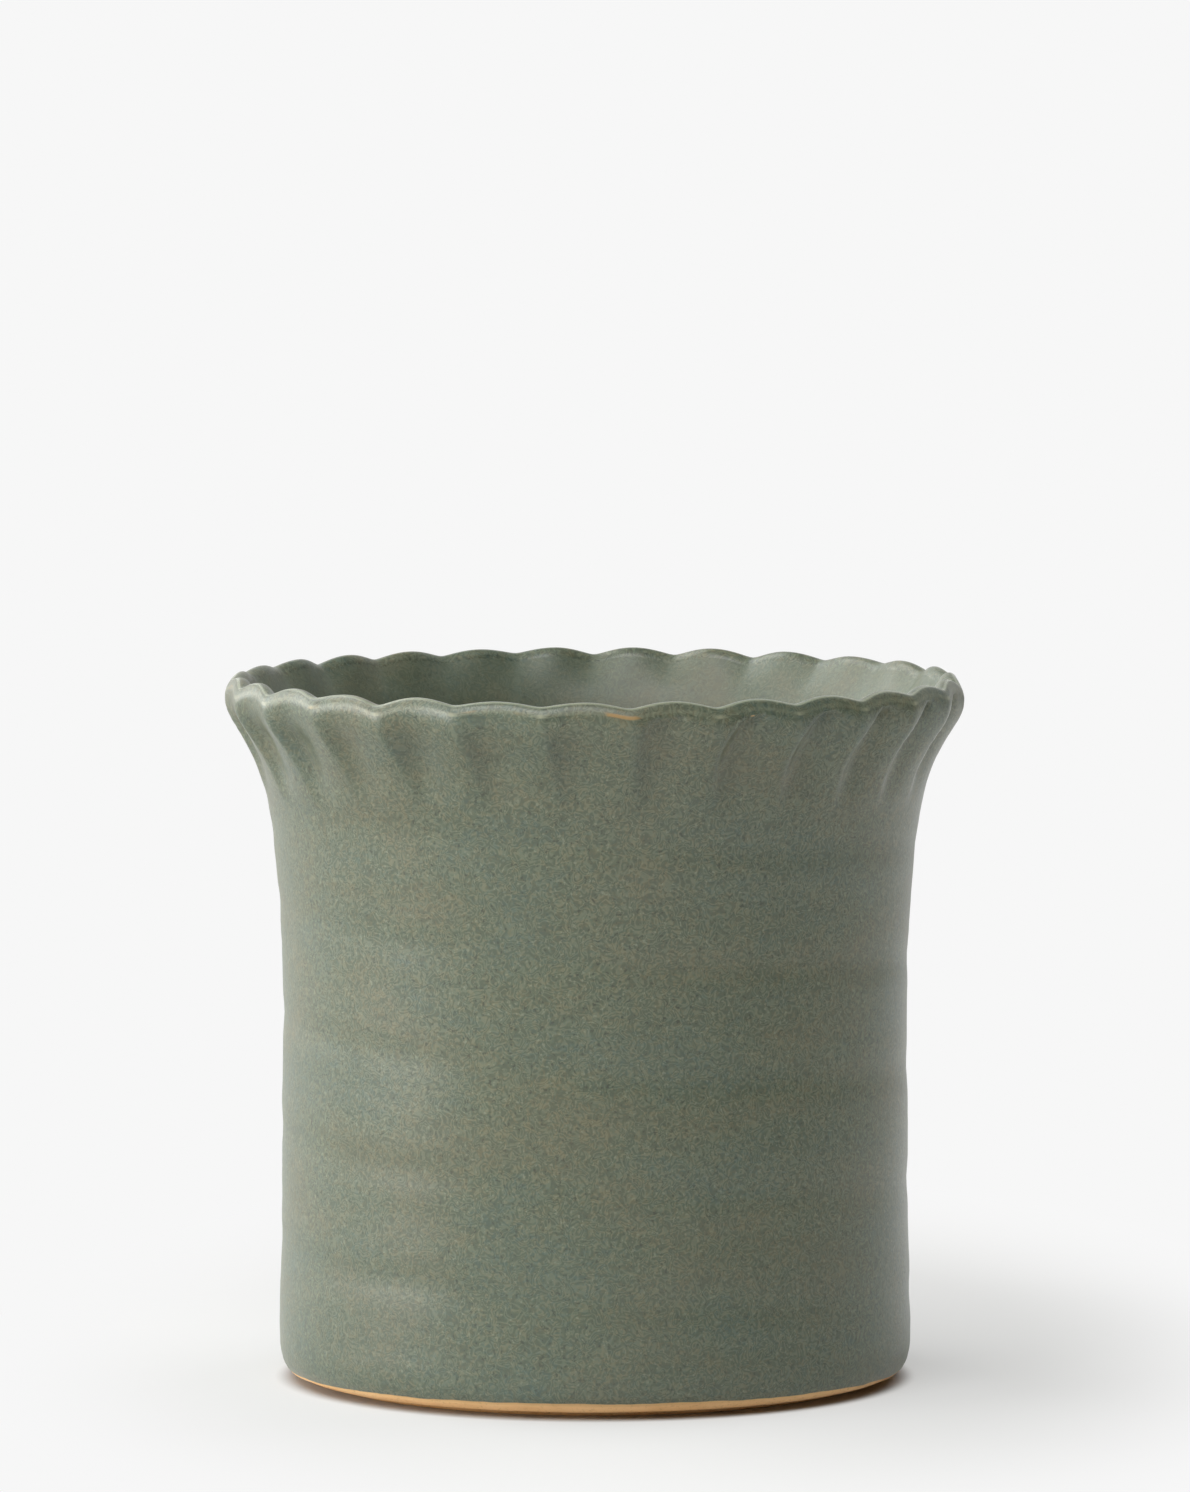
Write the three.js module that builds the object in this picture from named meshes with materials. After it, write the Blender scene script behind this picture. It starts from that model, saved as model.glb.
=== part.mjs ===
// A wheel-thrown stoneware pot for standing brushes in: a nearly straight, slightly waisted body, a flaring
// rim pressed into finger-wide flutes, a trimmed foot of bare clay, and a coat of glaze inside and out.
// Millimetres, +Z up. The origin is the middle of the foot's resting plane, on the wheel's axis.
import * as THREE from 'three';

// Outside of the glazed pot as [radius, height] at the crests between flutes, from the glaze line to the lip.
const OUTSIDE = [
  [58.35, 3.1], [59.2, 7], [58.6, 42], [58.3, 67], [58.9, 88], [61.1, 108.5], [63.4, 115], [66.6, 121.7],
  [69.15, 128.2],
];
// The lip, from its outer corner over its upper edge to where it turns down inside.
const LIP = [[68.85, 129.85], [67.1, 131.6], [65.95, 131.15]];
// Inside of the glazed pot, from under the lip, where the liner starts, to the edge of the flat floor.
const INSIDE = [
  [65.05, 130.1], [63, 127.3], [60.2, 122.4], [57, 112], [55, 98], [54.1, 80], [53.4, 20], [52.4, 12.5],
  [49.2, 8.9], [45, 8],
];
const FLOOR_TOP = 8;

// The trimmed foot, bare clay: a bevel under the glaze line, an undercut, a flat ring that the pot stands on
// and a shallow turned recess inside it, as [radius, height].
const FOOT = [[0, 1.4], [42, 1.4], [44, 0], [52, 0], [55.6, 0.8], [57.4, 2.6]];

const GLAZE_THICKNESS = 0.5;
const GLAZE_GAP = 0.4; // the glaze skins stand this far off the clay, so that the solids never touch

const FLUTES = 27;
const COLUMNS_PER_FLUTE = 4;
const FIRST_FLUTE = 0.361; // turns of the flute pattern at +X
// Fingers are never evenly spaced: [waves round the rim, drift in flutes, start in degrees].
const FLUTE_DRIFT = [[1, 0.052, -146], [2, 0.064, 67], [3, 0.031, 58]];
const FLUTE_LEAN = 0.013; // flutes sideways for each millimetre down from the lip

const SCOOP_DEPTH = 2.1; // how far a fingertip pushed the wall in, at the deepest
const SCOOP_FOOT = 104; // heights where a scoop fades out and where it is deepest
const SCOOP_DEEPEST = 122;
const LIP_SHARE = 0.6; // of the scoop's depth that is left at the lip
const INSIDE_SHARE = 0.5; // of the scoop that shows as a bulge on the inside
const SCOOP_SKEW = 1.5; // above 1 a scoop is steeper on the side where the finger went in
const CREST_ROUNDING = 0.18;
const SCALLOP_RISE = 1.2; // a scoop's edge stands this far above a crest's

const smoothstep = THREE.MathUtils.smoothstep;
const radians = THREE.MathUtils.degToRad;

function drift(angle) {
  return FLUTE_DRIFT.reduce((sum, [waves, size, start]) => sum + size * Math.sin(waves * angle + radians(start)), 0);
}

// The angle round the pot where the flute pattern has come to a given count of flutes.
function angleAt(flutes) {
  let angle = 0;
  for (let step = 0; step < 8; step++) {
    angle = (2 * Math.PI * (flutes - FIRST_FLUTE - drift(angle))) / FLUTES;
  }
  return angle;
}

// Depth of a scoop across its width: 0 on the crests at either side, 1 at the deepest.
function scoopAcross(flutes) {
  const along = flutes - Math.floor(flutes);
  const wave = Math.sin(Math.PI * (1 - Math.pow(1 - along, SCOOP_SKEW)));
  const rounded = Math.hypot(wave, CREST_ROUNDING) - CREST_ROUNDING;
  return rounded / (Math.hypot(1, CREST_ROUNDING) - CREST_ROUNDING);
}

function scoopDepth(height) {
  const fade = 1 - (1 - LIP_SHARE) * smoothstep(height, SCOOP_DEEPEST, LIP[0][1]);
  return SCOOP_DEPTH * smoothstep(height, SCOOP_FOOT, SCOOP_DEEPEST) * fade;
}

// Across the lip a scoop passes from its full depth to what shows inside.
function lipShare(index) {
  return 1 - ((1 - INSIDE_SHARE) * (index + 1)) / (LIP.length + 1);
}

// The glazed surface as one line of stations, from the glaze line over the lip to the middle of the floor.
const stations = [
  ...OUTSIDE.map(([radius, height]) => ({ radius, height, share: 1 })),
  ...LIP.map(([radius, height], index) => ({ radius, height, share: lipShare(index) })),
  ...INSIDE.map(([radius, height]) => ({ radius, height, share: INSIDE_SHARE })),
  { radius: 0, height: FLOOR_TOP, share: 0 },
];
const LIP_END = OUTSIDE.length + LIP.length; // the first station inside the pot

// A station moved into the wall by a depth, square to the surface.
function inset(index, depth) {
  const here = stations[index];
  const before = stations[Math.max(index - 1, 0)];
  const after = stations[Math.min(index + 1, stations.length - 1)];
  const along = new THREE.Vector2(after.radius - before.radius, after.height - before.height).normalize();
  const onAxis = here.radius === 0;
  return {
    radius: onAxis ? 0 : here.radius - along.y * depth,
    height: here.height + (onAxis ? -1 : along.x) * depth,
    share: here.share,
  };
}

function insetRun(first, last, depth) {
  const run = [];
  for (let index = first; index <= last; index++) run.push(inset(index, depth));
  return run;
}

function pointOn(station, column) {
  const flutes = column / COLUMNS_PER_FLUTE;
  const down = LIP[1][1] - Math.max(station.height, SCOOP_FOOT);
  const angle = angleAt(flutes + FLUTE_LEAN * down);
  const scoop = scoopAcross(flutes);
  const radius = station.radius - station.share * scoopDepth(station.height) * scoop;
  const rise = SCALLOP_RISE * (scoop - 0.5) * smoothstep(station.height, SCOOP_DEEPEST - 8, LIP[0][1]);
  return [radius * Math.cos(angle), radius * Math.sin(angle), station.height + (station.share ? rise : 0)];
}

// Turns a line of stations into a closed skin. The section goes up its outer side and down its inner side,
// and either starts and ends on the axis or closes on itself.
function turned(section) {
  const columns = FLUTES * COLUMNS_PER_FLUTE;
  const positions = [];
  const rows = section.map((station) => {
    const first = positions.length / 3;
    const count = station.radius === 0 ? 1 : columns;
    for (let column = 0; column < count; column++) {
      positions.push(...(count === 1 ? [0, 0, station.height] : pointOn(station, column)));
    }
    return (column) => first + (column % count);
  });
  const faces = [];
  const closesOnItself = section[0].radius !== 0;
  for (let row = 0; row < rows.length - (closesOnItself ? 0 : 1); row++) {
    const low = rows[row];
    const high = rows[(row + 1) % rows.length];
    for (let column = 0; column < columns; column++) {
      const corners = [low(column), low(column + 1), high(column + 1), high(column)];
      if (corners[0] !== corners[1]) faces.push(corners[0], corners[1], corners[2]);
      if (corners[2] !== corners[3]) faces.push(corners[0], corners[2], corners[3]);
    }
  }
  const geometry = new THREE.BufferGeometry();
  geometry.setAttribute('position', new THREE.Float32BufferAttribute(positions, 3));
  geometry.setIndex(faces);
  geometry.computeVertexNormals();
  return geometry;
}

// Floor, wall, fluted rim and foot in one thrown and trimmed piece.
function clayBody() {
  const foot = FOOT.map(([radius, height]) => ({ radius, height, share: 0 }));
  const under = insetRun(0, stations.length - 1, GLAZE_GAP + GLAZE_THICKNESS);
  return turned([...foot, ...under]);
}

// A skin of glaze over a run of stations, closed along its edges or on the axis.
function glazeSkin(first, last) {
  const face = insetRun(first, last, 0);
  const back = insetRun(first, last, GLAZE_THICKNESS);
  back.reverse();
  return turned(face.at(-1).radius === 0 ? [...back, ...face] : [...face, ...back]);
}

function outerGlaze() {
  return glazeSkin(0, LIP_END - 1);
}

function innerGlaze() {
  return glazeSkin(LIP_END, stations.length - 1);
}

function piece(name, geometry, color, roughness) {
  const mesh = new THREE.Mesh(geometry, new THREE.MeshStandardMaterial({ color, roughness, metalness: 0 }));
  mesh.name = name;
  return mesh;
}

const pot = new THREE.Group();
pot.name = 'fluted_brush_pot';
pot.add(piece('clay_body', clayBody(), 0xd8ac74, 0.85));
pot.add(piece('outer_glaze', outerGlaze(), 0x74806f, 0.45));
pot.add(piece('inner_glaze', innerGlaze(), 0x7b8875, 0.4));

export default pot;
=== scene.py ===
"""A wheel-thrown stoneware brush pot with a finger-fluted rim.

The clay, the outer glaze and the liner are each turned from a section line by one Geometry Nodes tree, which
also presses the flutes into the rim and leaves the throwing rings. Metres, +Z up, the foot stands on Z = 0.
"""
import math

import bpy
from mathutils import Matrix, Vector
from mathutils.geometry import interpolate_bezier


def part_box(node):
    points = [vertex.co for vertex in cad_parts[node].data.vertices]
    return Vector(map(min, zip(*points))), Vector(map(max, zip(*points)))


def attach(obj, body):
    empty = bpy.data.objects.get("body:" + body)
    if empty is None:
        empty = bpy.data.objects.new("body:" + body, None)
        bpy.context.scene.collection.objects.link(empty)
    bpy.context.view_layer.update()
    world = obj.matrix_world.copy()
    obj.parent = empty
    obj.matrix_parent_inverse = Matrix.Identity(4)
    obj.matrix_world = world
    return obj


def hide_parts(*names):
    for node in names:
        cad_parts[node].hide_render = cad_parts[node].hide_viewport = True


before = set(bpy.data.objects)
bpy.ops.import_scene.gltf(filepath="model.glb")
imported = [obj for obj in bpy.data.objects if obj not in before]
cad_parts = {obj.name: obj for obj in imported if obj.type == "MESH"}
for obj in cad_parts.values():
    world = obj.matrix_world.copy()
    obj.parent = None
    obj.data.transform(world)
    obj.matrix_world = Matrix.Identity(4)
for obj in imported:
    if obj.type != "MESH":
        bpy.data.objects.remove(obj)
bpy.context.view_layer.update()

MM = 0.001

# ------------------------------------------------------------------ the pot's measures, in millimetres

# Outside of the glazed pot at the crests between flutes, as (radius, height), from the glaze line to the lip.
OUTSIDE = [
    (58.35, 3.1), (58.95, 4.3), (59.2, 7), (59.1, 14), (58.85, 24), (58.65, 36), (58.6, 52), (58.35, 67),
    (58.5, 78), (58.8, 86), (59.3, 93.5), (59.9, 99), (60.45, 104.5), (61.2, 108.5), (62.3, 112.3),
    (63.6, 116.1), (65.4, 119.8), (66.9, 122.5), (68.2, 124.8), (68.97, 126.8), (69.15, 128.3),
]
# The lip is the end of the wall, leaning out with it, with two soft edges.
LIP = [
    (69.14, 129.1), (69.0, 129.85), (68.8, 130.45), (68.5, 131.0), (68.15, 131.37), (67.7, 131.57),
    (67.1, 131.62), (66.45, 131.45), (65.85, 131.05), (65.4, 130.6), (65.05, 130.1),
]
LIP_EDGE, LIP_CORNER = (67.9, 131.5), (68.97, 129.95)  # the glaze runs thin on these; the pale on the upper edge is partly a painted highlight
THIN_REACH = 0.7  # and up to this far from them
# Inside of the glazed pot, from under the lip down to the middle of the floor.
INSIDE = [
    (64.3, 129.1), (63.0, 127.3), (61.5, 125), (60.2, 122.4), (58.4, 117.5), (57.0, 112), (56.0, 106),
    (55.0, 98), (54.1, 80), (53.6, 50), (53.4, 20), (52.4, 12.5), (49.2, 8.9), (45, 8), (30, 8), (12, 8),
    (0, 8),
]
# The bare foot: a shallow turned recess, a flat resting ring, a low gap all round it and a bevel up to the
# glaze line.
FOOT = [
    (0, 1.4), (30, 1.4), (41.5, 1.4), (43, 0.9), (44, 0.05), (44.6, 0), (51, 0), (51.6, 0.05),
    (52.1, 0.7), (53, 1.1), (55.9, 1.25), (56.6, 1.6), (57.9, 2.6),
]
# The rim's radius and the pot's height, waves and all, that the points above are drawn for.
DRAWN_RIM, DRAWN_HEIGHT = 69.15, 132.08
# How far apart the rings of points on a skin are, as (above this height, step).
FINE_STEPS = [(128.5, 0.28), (101, 0.75), (7, 2.2), (0, 0.5)]
COARSE_STEPS = [(128, 1.0), (101, 2.0), (0, 6.0)]
FOOT_STEPS = [(-1, 0.8)]

COAT = 0.42  # thickness of the glaze
CLAY_INSET = 0.46  # the clay's face lies this far under the glaze's
HIDDEN_STEP = 6  # of the points on a coat's hidden face, one in this many is kept

FLUTES = 27
COLUMNS = FLUTES * 22  # round the glaze skins
FIRST_FLUTE = 0.361  # how much of a flute is over at +X
FLUTE_DRIFT = [(1, 0.052, -146), (2, 0.064, 67), (3, 0.031, 58)]  # (waves round the rim, flutes, degrees)
FLUTE_LEAN = (0.008, -0.018)  # flutes sideways per millimetre down: midway, and more of it on +X

# The scoops that the fingers left in the outside. Their places are counted down from the rim.
SCOOP_DEPTH = 2.0  # how far a finger pressed the wall in
SCOOP_TOP = 3.0  # where an arched scoop starts
SCOOP_FADES, SCOOP_ENDS = 8.0, 24.0  # they fade out between these
SCOOP_SKEW = 2.5  # each scoop is steeper on the side where the finger went in
SCOOP_SPREAD = 0.45  # how much their depths differ, as a share
ARCH = 9.6  # on the +X side an arch closes each scoop, and takes this much height to reach the crests
ARCH_SHOULDER = 0.3  # small, so that a scoop is deep soon under its arch
NARROWEST = 0.04  # of a flute: how wide a scoop is at the very top of its arch
SOFT_START = (2.2, 10.5)  # on the -X side the scoops have no arch, and deepen slowly between these
ARCHED = (-0.1, 0.35)  # where one way passes into the other, as a share of the way to +X

# The waves of the edge itself, one for each scoop.
LIP_WAVE = 0.95  # in and out
LIP_WAVE_INSIDE = 0.65  # share of it that shows inside
SOFT_WAVE = 1.2  # the inside's waves are round, and this much fuller in the middle
WAVE_CUSP = 0.173  # rounding of the sharp turns between waves
SCALLOP_RISE = 1.1  # up and down
RISE_SHARE, DIP_SHARE = 0.5, 0.6  # how much of it is a rise over the scoop, and a dip at the crests
VALLEY_SPREAD = 0.9  # how much the dips differ, as a share
WAVE_REACH, WAVE_REACH_INSIDE = 15.0, 8.5  # the waves die out this far down the wall
# A crest starts this share of a flute from a scoop's middle, and then comes up this fast.
CREST_START, CREST_CONTRAST = 0.42, 12.0

# The spiral that throwing leaves in the plain wall.
RING_DEPTH = 0.135
RING_PITCH = 21.0  # how much it climbs in a turn
RING_WAVES = [(1, 0.0, 0.55), (2, 1.1, 0.4), (3, 2.6, 0.25)]  # (ridges in a turn, start in radians, share)
RING_WANDER = 3.0  # how far the wall strays from it, as a share of its depth
WANDERING = (11.0, 11.0, 120.0)  # and how often in a metre, along X, Y and Z
RINGED = (4, 12), (104, 120)  # the heights over which the rings begin and end

# The glaze stops unevenly above the foot.
GLAZE_LINE_WAVE = 1.0
GLAZE_LINE_RUNS = 5.5  # how often it changes in a radian round the pot
GLAZE_LINE_DIP, GLAZE_LINE_SWAY = -0.4, -0.45  # lower all round, and lowest at +X and -X
GLAZE_LINE_ZONE = (1.4, 2.8), (3, 7)  # the heights over which this begins and ends
GLAZE_LINE_SLOPE = (0.5, 0.87)  # outwards and upwards, along the wall's slope there

WELD = 0.01  # points nearer each other than this are one
SHARP = math.radians(60)  # a fold steeper than this isn't shaded smooth


# ------------------------------------------------------------------ nodes written as expressions


class Value:
    """One output of a node. Sums and products of values add Math nodes to the same tree."""

    def __init__(self, nodes, socket):
        self.nodes, self.socket = nodes, socket

    def __add__(self, other):
        return self.nodes.math("ADD", self, other)

    def __sub__(self, other):
        return self.nodes.math("SUBTRACT", self, other)

    def __rsub__(self, other):
        return self.nodes.math("SUBTRACT", other, self)

    def __mul__(self, other):
        return self.nodes.math("MULTIPLY", self, other)

    def __truediv__(self, other):
        return self.nodes.math("DIVIDE", self, other)

    def __pow__(self, other):
        return self.nodes.math("POWER", self, other)

    def __mod__(self, other):
        return self.nodes.math("MODULO", self, other)

    __radd__ = __add__
    __rmul__ = __mul__


class Nodes:
    """Adds nodes to one tree."""

    def __init__(self, tree):
        self.tree = tree

    def add(self, kind, settings=None, values=None, output=0):
        node = self.tree.nodes.new(kind)
        for name, setting in (settings or {}).items():
            setattr(node, name, setting)
        for name, value in (values or {}).items():
            socket = self.find(node.inputs, name)
            if isinstance(value, Value):
                self.tree.links.new(value.socket, socket)
            else:
                socket.default_value = value
        return Value(self, self.find(node.outputs, output))

    @staticmethod
    def find(sockets, name):
        open_sockets = [s for s in sockets if not s.is_unavailable]
        if isinstance(name, int):
            return open_sockets[name]
        return next(s for s in open_sockets if s.name == name)

    def math(self, operation, *numbers, clamp=False):
        settings = {"operation": operation, "use_clamp": clamp}
        return self.add("ShaderNodeMath", settings, dict(enumerate(numbers)))

    def smooth(self, value, low, high):
        """0 below low, 1 above high, and a smooth step between."""
        ends = {"Value": value, "From Min": low, "From Max": high}
        return self.add("ShaderNodeMapRange", {"interpolation_type": "SMOOTHSTEP"}, ends)

    def band(self, height, begins, ends):
        """0, then 1, then 0 again, with smooth steps between the two pairs of heights, in millimetres."""
        up, down = (self.smooth(height, low * MM, high * MM) for low, high in (begins, ends))
        return up - down

    def mix(self, factor, a, b):
        settings = {"data_type": "RGBA", "clamp_factor": True}
        colours = {n: v if isinstance(v, Value) else (*v, 1.0) for n, v in (("A", a), ("B", b))}
        return self.add("ShaderNodeMix", settings, {"Factor": factor, **colours}, "Result")

    def point(self, x, y, z):
        return self.add("ShaderNodeCombineXYZ", None, {"X": x, "Y": y, "Z": z})

    def noise(self, place, scale, detail=2.0, roughness=0.5, distortion=0.0):
        values = {"Vector": place, "Scale": scale, "Detail": detail, "Roughness": roughness}
        return self.add("ShaderNodeTexNoise", None, {**values, "Distortion": distortion}, "Fac")

    def stretched(self, place, scale):
        """A place with each of its axes scaled, so that a pattern on it is drawn out."""
        return self.add("ShaderNodeVectorMath", {"operation": "MULTIPLY"}, {0: place, 1: scale})


# ------------------------------------------------------------------ turning and fluting


def press_flutes(nodes, angle, depth, scooped, ask):
    """How far fingers pushed the wall in and lifted the edge, and where glaze pools and breaks; the crests
    also carry a painted highlight.
    """
    drift = sum(
        nodes.math("SINE", angle * waves + math.radians(start)) * size for waves, size, start in FLUTE_DRIFT
    )
    side = nodes.math("COSINE", angle)
    lean = (side * FLUTE_LEAN[1] + FLUTE_LEAN[0]) * (depth / MM)
    count = angle * (FLUTES / math.tau) + drift - lean + FIRST_FLUTE + FLUTES
    along = nodes.math("FRACT", count)

    def chance(number):
        """A fixed number between -0.5 and 0.5 for each flute."""
        flute = nodes.math("FLOOR", number) % FLUTES
        dice = {"W": flute + 0.5}
        return nodes.add("ShaderNodeTexWhiteNoise", {"noise_dimensions": "1D"}, dice, "Value") - 0.5

    firmness = chance(count) * SCOOP_SPREAD + 1.0
    valley = chance(count + 0.5) * VALLEY_SPREAD + 1.0

    # Under an arch a scoop's width opens like a quarter of an ellipse.
    arched = nodes.smooth(side, *ARCHED)
    closing = nodes.math("DIVIDE", (SCOOP_TOP + ARCH) * MM - depth, ARCH * MM, clamp=True)
    under_arch = nodes.math("SQRT", 1.0 - closing * closing)
    soft_start = nodes.smooth(depth, SOFT_START[0] * MM, SOFT_START[1] * MM)
    opening = under_arch ** ARCH_SHOULDER * arched + soft_start * (1.0 - arched)
    width = nodes.math("MAXIMUM", 1.0 - (1.0 - under_arch) * arched, NARROWEST)
    across = nodes.math("ADD", (along - 0.5) / width, 0.5, clamp=True)
    pressed = nodes.math("SINE", (1.0 - (1.0 - across) ** SCOOP_SKEW) * math.pi)
    fade = 1.0 - nodes.smooth(depth, SCOOP_FADES * MM, SCOOP_ENDS * MM)
    scoop = pressed * opening * fade * firmness

    # At the edge itself the wall only waves in and out, and rises where it was pushed in. The waves are
    # softer on the inside.
    bow = nodes.math("SINE", along * math.pi)
    sharp_wave = nodes.math("SQRT", bow * bow + WAVE_CUSP ** 2) - WAVE_CUSP
    wave = sharp_wave / (math.hypot(1, WAVE_CUSP) - WAVE_CUSP)
    soft_wave = bow * bow * SOFT_WAVE
    reach = (scooped * (WAVE_REACH - WAVE_REACH_INSIDE) + WAVE_REACH_INSIDE) * MM
    near_lip = 1.0 - nodes.smooth(depth, 0.0, reach)
    shown = scooped * (1.0 - LIP_WAVE_INSIDE) + LIP_WAVE_INSIDE
    waved = ((soft_wave - wave) * (1.0 - scooped) + wave) * near_lip * firmness * shown
    push = scoop * scooped * ask("Scoop depth") + waved * ask("Lip wave")
    rise = wave * firmness * RISE_SHARE - (1.0 - wave) * valley * DIP_SHARE
    lift = rise * near_lip * ask("Scallop rise")
    from_middle = nodes.math("ABSOLUTE", along - 0.5)
    crest = nodes.math("MULTIPLY", (from_middle - CREST_START) * CREST_CONTRAST, fade, clamp=True)
    return push, lift, scoop, crest


def throwing_rings(nodes, angle, x, y, height):
    """The spiral that fingers leave in a wall on the wheel, as a number about 0."""
    spiral = height * (math.tau / (RING_PITCH * MM)) + angle
    rings = sum(nodes.math("SINE", spiral * ridges + start) * size for ridges, start, size in RING_WAVES)
    wandering = nodes.noise(nodes.stretched(nodes.point(x, y, height), WANDERING), 1.0)
    return rings + (wandering - 0.5) * RING_WANDER


def lathe():
    """Geometry Nodes: turns a section line about the Z axis and presses the flutes into it.

    The section's points carry the numbers named in MARKS.
    """
    tree = bpy.data.node_groups.new("turned and fluted skin", "GeometryNodeTree")
    sockets = [
        ("Section", "Geometry"), ("Columns", "Int"), ("Rim height", "Float"), ("Scoop depth", "Float"),
        ("Lip wave", "Float"), ("Scallop rise", "Float"), ("Ring depth", "Float"),
        ("Glaze line wave", "Float"), ("Finish", "Material"),
    ]
    for name, kind in sockets:
        tree.interface.new_socket(name, in_out="INPUT", socket_type="NodeSocket" + kind)
    tree.interface.new_socket("Skin", in_out="OUTPUT", socket_type="NodeSocketGeometry")
    nodes = Nodes(tree)
    given = tree.nodes.new("NodeGroupInput")

    def ask(name):
        return Value(nodes, given.outputs[name])

    rows = nodes.add("GeometryNodeAttributeDomainSize", None, {"Geometry": ask("Section")}, "Point Count")
    index = nodes.add("GeometryNodeInputIndex")
    row = index % rows
    turn = (index - row) / rows / ask("Columns")
    angle = turn * math.tau

    def from_section(kind, value):
        asked = {"Geometry": ask("Section"), "Value": value, "Index": row}
        return nodes.add("GeometryNodeSampleIndex", {"data_type": kind}, asked)

    def told(name):
        return from_section("FLOAT", nodes.add("GeometryNodeInputNamedAttribute", None, {"Name": name}))

    place = from_section("FLOAT_VECTOR", nodes.add("GeometryNodeInputPosition"))
    radius = nodes.add("ShaderNodeSeparateXYZ", None, {0: place}, "X")
    height = nodes.add("ShaderNodeSeparateXYZ", None, {0: place}, "Z")
    press_height, share, scooped = told("press_height"), told("share"), told("scooped")
    across, up = nodes.math("COSINE", angle), nodes.math("SINE", angle)

    depth = ask("Rim height") - press_height
    push, lift, pool, crest = press_flutes(nodes, angle, depth, scooped, ask)
    rings = throwing_rings(nodes, angle, across * radius, up * radius, press_height) * ask("Ring depth")
    radius = radius - share * push + rings * nodes.band(press_height, *RINGED) * share
    # The glaze line runs up and down the wall's corner, and takes the clay under it along.
    uneven = nodes.noise(nodes.point(across, up, 0.0), GLAZE_LINE_RUNS, 3.0, 0.6) - 0.5
    sway = nodes.math("COSINE", angle * 2.0) * GLAZE_LINE_SWAY
    run = (uneven + sway + GLAZE_LINE_DIP) * nodes.band(press_height, *GLAZE_LINE_ZONE)
    run = run * ask("Glaze line wave")
    radius = radius + run * GLAZE_LINE_SLOPE[0]
    height = height + lift * share + run * GLAZE_LINE_SLOPE[1]

    counts = {"Vertices X": nodes.math("ADD", ask("Columns"), 1), "Vertices Y": rows}
    grid = nodes.add("GeometryNodeMeshGrid", None, counts, "Mesh")
    turned = nodes.point(across * radius, up * radius, height)
    skin = nodes.add("GeometryNodeSetPosition", None, {"Geometry": grid, "Position": turned})
    marks = {"pool": pool * share, "crest": crest * share, "edge": told("edge"), "corner": told("corner")}
    for name, value in marks.items():
        stored = {"Geometry": skin, "Name": name, "Value": value}
        skin = nodes.add("GeometryNodeStoreNamedAttribute", {"data_type": "FLOAT", "domain": "POINT"}, stored)
    skin = nodes.add("GeometryNodeMergeByDistance", None, {"Geometry": skin, "Distance": WELD * MM})
    skin = nodes.add("GeometryNodeSetShadeSmooth", None, {"Geometry": skin, "Shade Smooth": True})
    skin = nodes.add("GeometryNodeRealizeInstances", None, {"Geometry": skin})
    skin = nodes.add("GeometryNodeSetMaterial", None, {"Geometry": skin, "Material": ask("Finish")})
    result = tree.nodes.new("NodeGroupOutput")
    tree.links.new(skin.socket, result.inputs["Skin"])
    return tree


# ------------------------------------------------------------------ section lines

# Each point of a section carries how much of the waving edge and of the scoops it takes, the height at which
# these are worked out, and how near it is to the lip's upper edge and outer corner.
MARKS = ("share", "scooped", "press_height", "edge", "corner")


def softened(points, steps):
    """A smooth line through the points, with its own points no further apart than the steps say."""
    points = [Vector((r, 0, z)) for r, z in points]
    line = []
    for i in range(len(points) - 1):
        start, end = points[i], points[i + 1]
        reach = (end - start).length / 3
        leave = (end - points[max(i - 1, 0)]).normalized() * reach
        arrive = (points[min(i + 2, len(points) - 1)] - start).normalized() * reach
        step = next(step for above, step in steps if start.z > above)
        count = math.ceil(3 * reach / step) + 1
        line += interpolate_bezier(start, start + leave, end - arrive, end, count)[:-1]
    return [(p.x, p.z) for p in line] + [(points[-1].x, points[-1].z)]


def inset(line, index, depth):
    """A point of the line moved square into the wall."""
    before, after = line[max(index - 1, 0)], line[min(index + 1, len(line) - 1)]
    along = Vector((after[0] - before[0], after[1] - before[1])).normalized()
    radius, height = line[index]
    if radius == 0:
        return 0.0, height - depth
    return radius - along.y * depth, height + along.x * depth


def station(point, drawn, share, scooped):
    """A point's place and its numbers, in the order of MARKS."""
    edge, corner = (max(1 - math.dist(drawn, thin_glaze_and_highlight) / THIN_REACH, 0.0) for thin_glaze_and_highlight in (LIP_EDGE, LIP_CORNER))
    return (*point, share, scooped, drawn[1], edge, corner)


def stations(line, depth, outside):
    """The line's points moved into the wall, as stations. The scoops die out across the lip."""
    made = []
    for i, (radius, height) in enumerate(line):
        across_lip = (radius - LIP[-1][0]) / (LIP[0][0] - LIP[-1][0])
        scooped = outside if height < LIP[0][1] else min(max(across_lip, 0.0), 1.0)
        made.append(station(inset(line, i, depth), line[i], 1.0, scooped))
    return made


def section_object(name, stations_mm):
    """A section line as a mesh, scaled to the frame's rim and height."""
    wide, tall = rim_radius / DRAWN_RIM, rim_height / DRAWN_HEIGHT
    mesh = bpy.data.meshes.new(name)
    points = [(s[0] * wide, 0, s[1] * tall) for s in stations_mm]
    mesh.from_pydata(points, [(i, i + 1) for i in range(len(points) - 1)], [])
    for column, mark in enumerate(MARKS, 2):
        size = tall if mark == "press_height" else 1.0
        values = [s[column] * size for s in stations_mm]
        mesh.attributes.new(mark, "FLOAT", "POINT").data.foreach_set("value", values)
    section = bpy.data.objects.new(name, mesh)
    bpy.context.scene.collection.objects.link(section)
    return section


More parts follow.
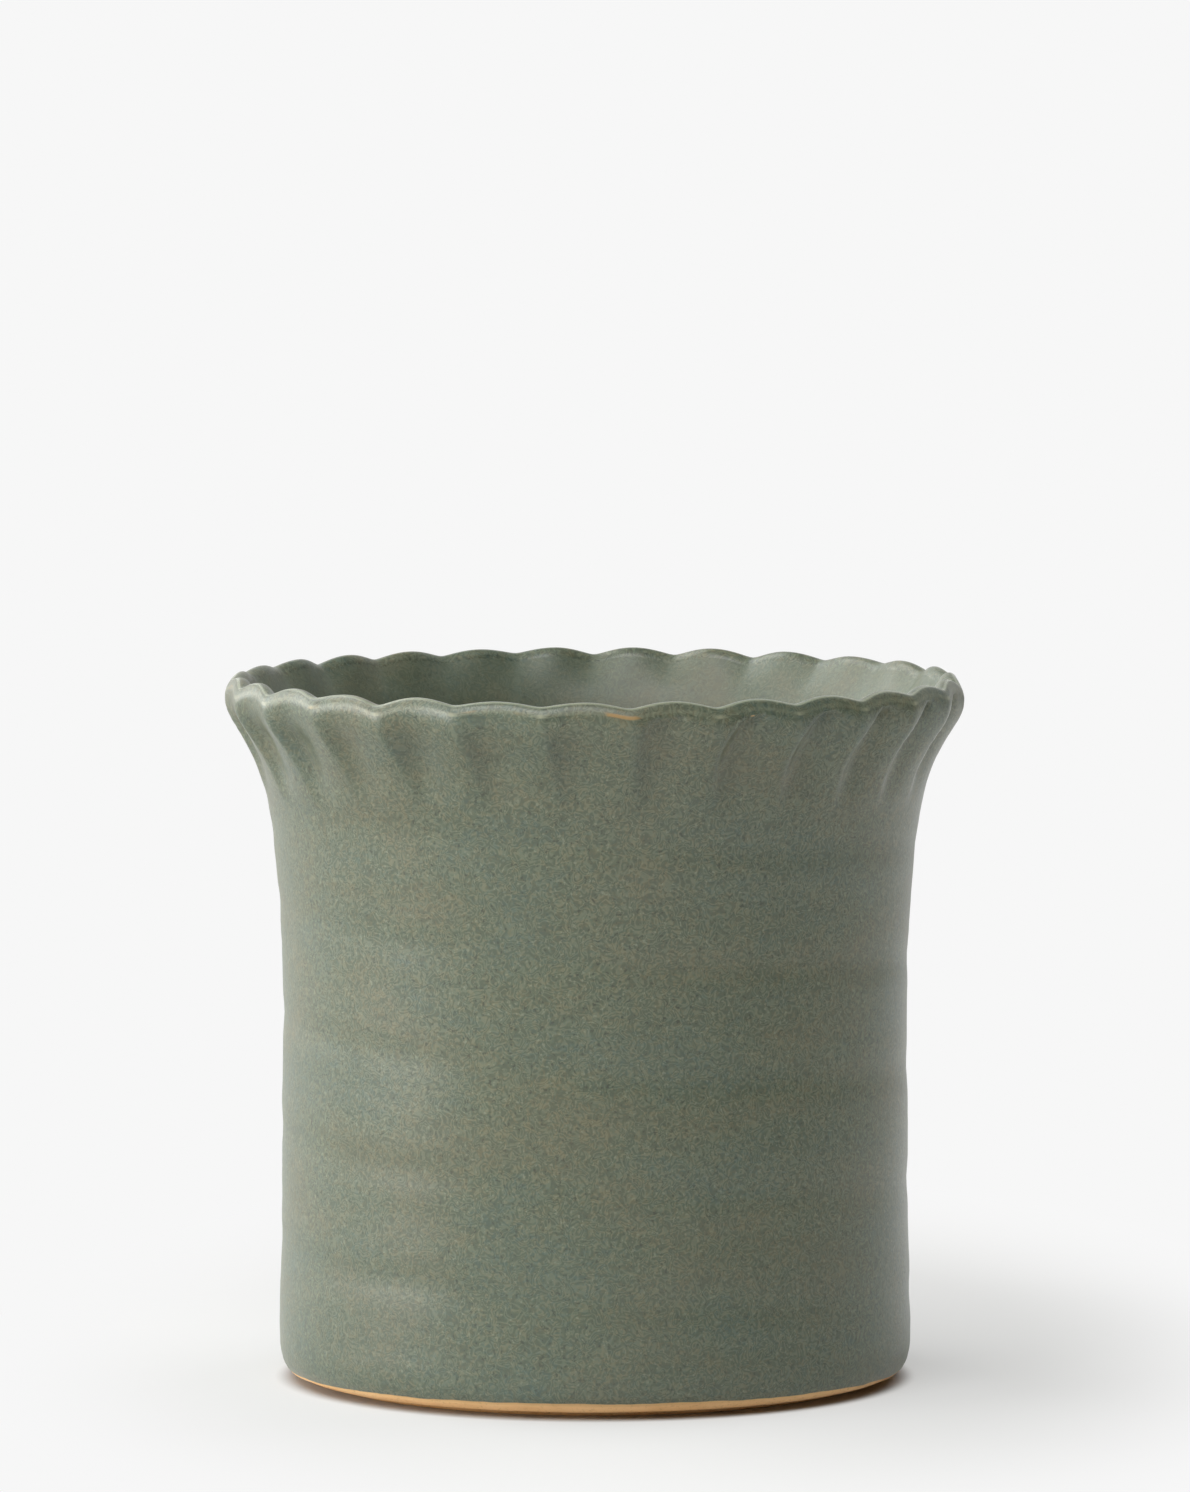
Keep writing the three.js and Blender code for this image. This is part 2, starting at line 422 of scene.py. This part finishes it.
def turn_on_lathe(name, stations_mm, columns, finish, node):
    """Makes a piece from its section, in place of a CAD node."""
    section = section_object(name + "_section", stations_mm)
    modifier = section.modifiers.new("lathe", "NODES")
    modifier.node_group = lathe_tree
    given = {
        "Columns": columns, "Rim height": rim_height, "Scoop depth": SCOOP_DEPTH * MM,
        "Lip wave": LIP_WAVE * MM, "Scallop rise": SCALLOP_RISE * MM, "Ring depth": RING_DEPTH * MM,
        "Glaze line wave": GLAZE_LINE_WAVE * MM, "Finish": finish,
    }
    for socket in lathe_tree.interface.items_tree:
        if socket.in_out == "INPUT" and socket.name in given:
            modifier[socket.identifier] = given[socket.name]
    made = section.evaluated_get(bpy.context.evaluated_depsgraph_get())
    mesh = bpy.data.meshes.new_from_object(made)
    bpy.data.objects.remove(section)
    mesh.set_sharp_from_angle(angle=SHARP)
    piece = bpy.data.objects.new(name, mesh)
    bpy.context.scene.collection.objects.link(piece)
    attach(piece, "root")
    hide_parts(node)


# ------------------------------------------------------------------ finishes


def new_material(name):
    material = bpy.data.materials.new(name)
    material.use_nodes = True
    material.node_tree.nodes.clear()
    nodes = Nodes(material.node_tree)
    place = nodes.add("ShaderNodeTexCoord", None, None, "Object")
    return material, nodes, place


def attribute(nodes, name):
    return nodes.add("ShaderNodeAttribute", {"attribute_name": name}, None, "Fac")


def finish(nodes, shader):
    result = nodes.tree.nodes.new("ShaderNodeOutputMaterial")
    nodes.tree.links.new(shader.socket, result.inputs["Surface"])


def surface(nodes, values):
    finish(nodes, nodes.add("ShaderNodeBsdfPrincipled", None, values, "BSDF"))


def satin_glaze(name, richness, gloss):
    """Grey-green satin glaze: olive, tan and teal crystals over green, thin and pale or amber on sharp edges,
    the pale partly a painted highlight.

    Richness is how strongly the crystals show. Gloss takes some of the roughness away.
    """
    material, nodes, place = new_material(name)
    z = nodes.add("ShaderNodeSeparateXYZ", None, {0: place}, "Z")
    edge, corner, crest, pool = (attribute(nodes, kind) for kind in ("edge", "corner", "crest", "pool"))

    green, olive, teal = (0.106, 0.128, 0.083), (0.188, 0.170, 0.094), (0.075, 0.118, 0.099)
    pale, dark = (0.270, 0.290, 0.200), (0.044, 0.050, 0.034)
    brownish, bluish, crest_green_and_highlight = (0.140, 0.128, 0.082), (0.095, 0.134, 0.113), (0.130, 0.165, 0.125)
    grey_cream_and_highlight, cream, amber = (0.34, 0.37, 0.27), (0.40, 0.40, 0.27), (0.400, 0.225, 0.070)

    # Clouds of brownish and bluish glaze a centimetre or two across, wider round the pot than they are tall.
    clouds = nodes.noise(nodes.stretched(place, (1, 1, 1.8)), 42.0, 3.0, 0.55, 0.4)
    brown = nodes.smooth(clouds, 0.46, 0.66)
    blue = 1.0 - nodes.smooth(clouds, 0.34, 0.52)
    low = 1.0 - nodes.smooth(z, 0.0, 50 * MM)
    # Crystals of about a millimetre and less: tan curls, teal islands, pale and dark worms, flecks and pits.
    curls = nodes.noise(place, 700.0, 2.5, 0.6, 1.2)
    islands = nodes.noise(nodes.stretched(place, (1, 1, 1.2)), 900.0, 2.0, 0.55, 0.6)
    flecks = nodes.noise(place, 1500.0, 1.0, 0.5)
    worms = nodes.math("SINE", nodes.noise(place, 420.0, 1.5, 0.5, 0.8) * 44.0)
    tan_curl = nodes.smooth(curls, 0.46, 0.62)
    teal_island = nodes.smooth(islands, 0.50, 0.64)
    colour = nodes.mix(tan_curl * (brown * 0.25 + 0.40) * richness, green, olive)
    colour = nodes.mix(teal_island * (blue * 0.35 + low * 0.20 + 0.22) * richness, colour, teal)
    colour = nodes.mix(nodes.smooth(worms, 0.0, 1.0) * 0.20 * richness, colour, pale)
    colour = nodes.mix(nodes.smooth(worms * -1.0, 0.0, 1.0) * 0.30 * richness, colour, dark)
    colour = nodes.mix(nodes.smooth(flecks, 0.62, 0.74) * 0.40 * richness, colour, pale)
    colour = nodes.mix((1.0 - nodes.smooth(flecks, 0.28, 0.38)) * 0.65 * richness, colour, dark)
    colour = nodes.mix(brown * 0.22 + pool * 0.18, colour, brownish)
    colour = nodes.mix(blue * 0.15 + low * 0.15, colour, bluish)
    # Lighter green on the crests: thin glaze there, and partly a painted highlight.
    colour = nodes.mix(crest * 0.25, colour, crest_green_and_highlight)
    # The glaze runs thin over the lip's edges and in a few places shows the clay's iron through. On the upper
    # edge its pale is partly a painted highlight.
    patches = nodes.noise(nodes.stretched(place, (1, 1, 3)), 45.0, 3.0, 0.6)
    thin_glaze_and_highlight = nodes.smooth(edge, 0.35, 0.8)
    colour = nodes.mix(thin_glaze_and_highlight * 0.6, colour, grey_cream_and_highlight)
    breaking = nodes.smooth(corner, 0.25, 0.8)
    colour = nodes.mix(breaking * (crest * 0.45 + 0.12), colour, cream)
    colour = nodes.mix(breaking * nodes.smooth(patches, 0.59, 0.66) * 0.7, colour, amber)

    roughness = curls * 0.10 + clouds * 0.05 + (0.42 - gloss * 0.15) - thin_glaze_and_highlight * 0.12
    relief = {"Strength": 0.25, "Distance": 0.12 * MM, "Height": curls + flecks * 0.5}
    bump = nodes.add("ShaderNodeBump", None, relief, "Normal")
    surface(nodes, {"Base Color": colour, "Roughness": roughness, "Normal": bump, "IOR": 1.5})
    return material


def bare_clay():
    """Buff stoneware with fine grog and the turning tool's lines, and painted light: lighter near the glaze
    line, on the band's upper part.
    """
    material, nodes, place = new_material("bare buff stoneware")
    x, y, z = (nodes.add("ShaderNodeSeparateXYZ", None, {0: place}, axis) for axis in "XYZ")
    buff, light_buff, lit_buff = (0.72, 0.42, 0.18), (0.80, 0.50, 0.24), (0.76, 0.50, 0.24)
    grog_brown, tool_brown = (0.45, 0.25, 0.10), (0.50, 0.29, 0.13)
    radius = nodes.math("SQRT", x * x + y * y)
    grog = nodes.noise(place, 1400.0, 2.0, 0.6)
    patches = nodes.noise(place, 60.0, 3.0, 0.6)
    turning = nodes.noise(nodes.point(radius * 900.0, z * 900.0, patches * 2.0), 1.0, 2.0, 0.6)
    colour = nodes.mix(nodes.smooth(patches, 0.35, 0.65), buff, light_buff)
    colour = nodes.mix(nodes.smooth(grog, 0.55, 0.7) * 0.5, colour, grog_brown)
    colour = nodes.mix(nodes.smooth(turning, 0.5, 0.7) * 0.25, colour, tool_brown)
    # Painted light: the bare band's upper part, which faces the light, is painted lighter than the part below
    # it.
    lit_near_glaze = nodes.smooth(z, 1.2 * MM, 3.2 * MM)
    colour = nodes.mix(lit_near_glaze * 0.5, colour, lit_buff)
    relief = {"Strength": 0.5, "Distance": 0.2 * MM, "Height": grog * 0.6 + turning}
    bump = nodes.add("ShaderNodeBump", None, relief, "Normal")
    surface(nodes, {"Base Color": colour, "Roughness": grog * 0.1 + 0.78, "Normal": bump, "IOR": 1.45})
    return material


# ------------------------------------------------------------------ the pieces

outer_low, outer_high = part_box("outer_glaze")
rim_radius = max(outer_high.x, outer_high.y, -outer_low.x, -outer_low.y)
rim_height = outer_high.z
lathe_tree = lathe()

surface_line = softened(OUTSIDE + LIP, FINE_STEPS)
liner_line = softened([LIP[-1]] + INSIDE, FINE_STEPS)


def hidden_face(line, outside):
    """A coat's face against the clay, from the line's end to its start, with fewer points."""
    back = stations(line, COAT, outside)
    kept = back[::-HIDDEN_STEP]
    if (len(back) - 1) % HIDDEN_STEP:
        kept.append(back[0])
    return kept


def outer_glaze_stations():
    face = stations(surface_line, 0.0, 1.0)
    return face + hidden_face(surface_line, 1.0) + face[:1]


def inner_glaze_stations():
    return hidden_face(liner_line, 0.0) + stations(liner_line, 0.0, 0.0)


def clay_body_stations():
    outside = softened(OUTSIDE + LIP, COARSE_STEPS)
    inside = softened([LIP[-1]] + INSIDE, COARSE_STEPS)[1:]
    foot = [(r, max(z, 0.0)) for r, z in softened(FOOT, FOOT_STEPS)]
    under = stations(outside, CLAY_INSET, 1.0) + stations(inside, CLAY_INSET, 0.0)
    return [station(point, point, 0.0, 0.0) for point in foot] + under


turn_on_lathe(
    "outer_glaze_coat", outer_glaze_stations(), COLUMNS, satin_glaze("satin green glaze", 1.0, 1.0),
    "outer_glaze",
)
turn_on_lathe(
    "inner_glaze_coat", inner_glaze_stations(), COLUMNS, satin_glaze("satin green liner", 0.5, 0.35),
    "inner_glaze",
)
turn_on_lathe(
    "thrown_clay_body", clay_body_stations(), COLUMNS // 2, bare_clay(), "clay_body",
)


# ------------------------------------------------------------------ studio

WHITE = 0.93  # how bright the plain background is
ROUND_SIDES = 96  # of the table and the walls
TABLE_RADIUS, WALL_TOP, WALL_FOOT = 3.2, 3.2, -0.02
BACKDROP_RADIUS, ROOM_RADIUS = 3.1, 2.9
TABLE_GREY = (0.42, 0.42, 0.417)
TABLE_LIFT = (0.384, 0.384, 0.378)  # light that the table gives off of its own
UNLIT = (56.5, 60.5)  # mm from the pot's axis: it gives off none under the foot, and all outside it
POOL_MIDDLE = (12, 40)  # mm from the axis: where the pool of shade round the pot has its middle
POOL_EDGE = (68, 130)  # mm from that: the table passes into the plain background
POOL_LENGTH = 2  # front to back, as a share of the pool's width
CLOTH_DROP = 0.5  # mm under the table
CLOTH_DIM, CLOTH_BRIGHT = (0.74, 0.74, 0.73), (0.92, 0.92, 0.91)
CLOTH_SPAN = 120  # mm to -X and +X of the axis, where the cloth is dimmest and brightest
LAMP_DISTANCE = 2.3
LAMP_WIDTH, LAMP_HEIGHT = 1.5, 1.1
# Lamps as (name, degrees round from the front, degrees up, light thrown on the pot).
LAMPS = [
    ("window", -75, 15, 0.64), ("window_behind", -120, 15, 0.32), ("skylight_behind", -120, 50, 0.36),
    ("skylight_front", -20, 50, 0.50), ("skylight_left", -50, 50, 0.15), ("skylight_right", 120, 50, 0.34),
    ("skylight_top", 0, 88, 0.08),
]
MATT_LAMPS = ("skylight_right",)  # these light the pot, but the glaze doesn't mirror them
ROOM_GLOW, ROOM_GLOW_X, ROOM_GLOW_Y = 0.68, -0.19, 0.09  # what the glaze reflects: midway, and per metre
CAMERA_DISTANCE = 1.87
CAMERA_PITCH = math.radians(4.8)
CAMERA_AIM = 0.898  # of the pot's height
CAMERA_RANGE = 0.1, 20  # the nearest and furthest that it sees
SENSOR_WIDTH, LENS = 36, 302.5  # in millimetres


def glowing_material(name, brightness):
    """A plain white glow; brightness works out its strength from a place."""
    material, nodes, place = new_material(name)
    x, y = (nodes.add("ShaderNodeSeparateXYZ", None, {0: place}, axis) for axis in "XY")
    glow = nodes.add("ShaderNodeEmission", None, {"Color": (1, 1, 1, 1), "Strength": brightness(x, y)})
    finish(nodes, glow)
    return material


def table_top():
    """A pale table near the pot that passes into the plain background further out."""
    material, nodes, place = new_material("pale table")
    x, y = (nodes.add("ShaderNodeSeparateXYZ", None, {0: place}, axis) for axis in "XY")
    from_axis = nodes.math("SQRT", x * x + y * y)
    lift = nodes.mix(nodes.smooth(from_axis, UNLIT[0] * MM, UNLIT[1] * MM), (0, 0, 0), TABLE_LIFT)
    table = {
        "Base Color": (*TABLE_GREY, 1), "Roughness": 1.0, "Specular IOR Level": 0.0,
        "Emission Color": lift, "Emission Strength": 1.0,
    }
    table = nodes.add("ShaderNodeBsdfPrincipled", None, table, "BSDF")
    glow = nodes.add("ShaderNodeEmission", None, {"Color": (WHITE, WHITE, WHITE, 1)})
    away, back = x - POOL_MIDDLE[0] * MM, (y - POOL_MIDDLE[1] * MM) / POOL_LENGTH
    reach = nodes.math("SQRT", away * away + back * back)
    far = nodes.smooth(reach, POOL_EDGE[0] * MM, POOL_EDGE[1] * MM)
    finish(nodes, nodes.add("ShaderNodeMixShader", None, {0: far, 1: table, 2: glow}))
    return material


def stage_object(name, points, faces, material):
    mesh = bpy.data.meshes.new(name)
    mesh.from_pydata(points, [], faces)
    mesh.materials.append(material)
    made = bpy.data.objects.new(name, mesh)
    bpy.context.scene.collection.objects.link(made)
    return made


def circle(radius, height):
    turns = [math.tau * i / ROUND_SIDES for i in range(ROUND_SIDES)]
    return [(radius * math.cos(turn), radius * math.sin(turn), height) for turn in turns]


def disc(name, height, material):
    return stage_object(name, circle(TABLE_RADIUS, height), [list(range(ROUND_SIDES))], material)


def wall_round(name, radius, material):
    """A round wall, so that the pot stands before the same plain background on every side."""
    nexts = [(i, (i + 1) % ROUND_SIDES) for i in range(ROUND_SIDES)]
    faces = [(i, i + ROUND_SIDES, j + ROUND_SIDES, j) for i, j in nexts]
    wall = stage_object(name, circle(radius, WALL_FOOT) + circle(radius, WALL_TOP), faces, material)
    wall.visible_diffuse = wall.visible_shadow = False
    return wall


def soft_box(name, round_from_front, up, strength):
    aim = Vector((0, 0, 0.5 * rim_height))
    turn, climb = math.radians(round_from_front), math.radians(up)
    level = LAMP_DISTANCE * math.cos(climb)
    place = aim + Vector((level * math.sin(turn), -level * math.cos(turn), LAMP_DISTANCE * math.sin(climb)))
    light = bpy.data.lights.new(name, "AREA")
    light.shape, light.size, light.size_y = "RECTANGLE", LAMP_WIDTH, LAMP_HEIGHT
    light.energy = strength * (math.pi * LAMP_DISTANCE) ** 2
    made = bpy.data.objects.new(name, light)
    made.location = place
    made.rotation_euler = (aim - place).to_track_quat("-Z", "Y").to_euler()
    made.visible_glossy = name not in MATT_LAMPS
    bpy.context.scene.collection.objects.link(made)


def studio():
    # Only the camera sees the table. The cloth just under it throws light back on the pot, and more of it on
    # the side away from the window.
    table = disc("table", 0.0, table_top())
    table.visible_diffuse = table.visible_glossy = table.visible_shadow = False
    white_cloth, nodes, place = new_material("white cloth")
    x = nodes.add("ShaderNodeSeparateXYZ", None, {0: place}, "X")
    white = nodes.mix(nodes.smooth(x, -CLOTH_SPAN * MM, CLOTH_SPAN * MM), CLOTH_DIM, CLOTH_BRIGHT)
    surface(nodes, {"Base Color": white, "Roughness": 0.9})
    cloth = disc("table_light", -CLOTH_DROP * MM, white_cloth)
    cloth.visible_camera = False
    backdrop = wall_round("backdrop", BACKDROP_RADIUS, glowing_material("backdrop", lambda x, y: WHITE))
    backdrop.visible_glossy = False
    # What the glaze reflects is brightest to the left and behind.
    glow = glowing_material("room", lambda x, y: y * ROOM_GLOW_Y + x * ROOM_GLOW_X + ROOM_GLOW)
    room = wall_round("room", ROOM_RADIUS, glow)
    room.visible_camera = False
    world = bpy.data.worlds.new("room light")
    bpy.context.scene.world = world
    world.use_nodes = True
    world.node_tree.nodes["Background"].inputs["Color"].default_value = (0, 0, 0, 1)
    for lamp in LAMPS:
        soft_box(*lamp)


def camera():
    made = bpy.data.cameras.new("camera")
    made.sensor_fit, made.sensor_width, made.lens = "HORIZONTAL", SENSOR_WIDTH, LENS
    made.clip_start, made.clip_end = CAMERA_RANGE
    holder = bpy.data.objects.new("camera", made)
    bpy.context.scene.collection.objects.link(holder)
    aim = Vector((0, 0, CAMERA_AIM * rim_height))
    away = Vector((0, -math.cos(CAMERA_PITCH), math.sin(CAMERA_PITCH)))
    holder.location = aim + CAMERA_DISTANCE * away
    holder.rotation_euler = (aim - holder.location).to_track_quat("-Z", "Y").to_euler()
    bpy.context.scene.camera = holder


studio()
camera()
bpy.context.scene.view_settings.view_transform = "Standard"
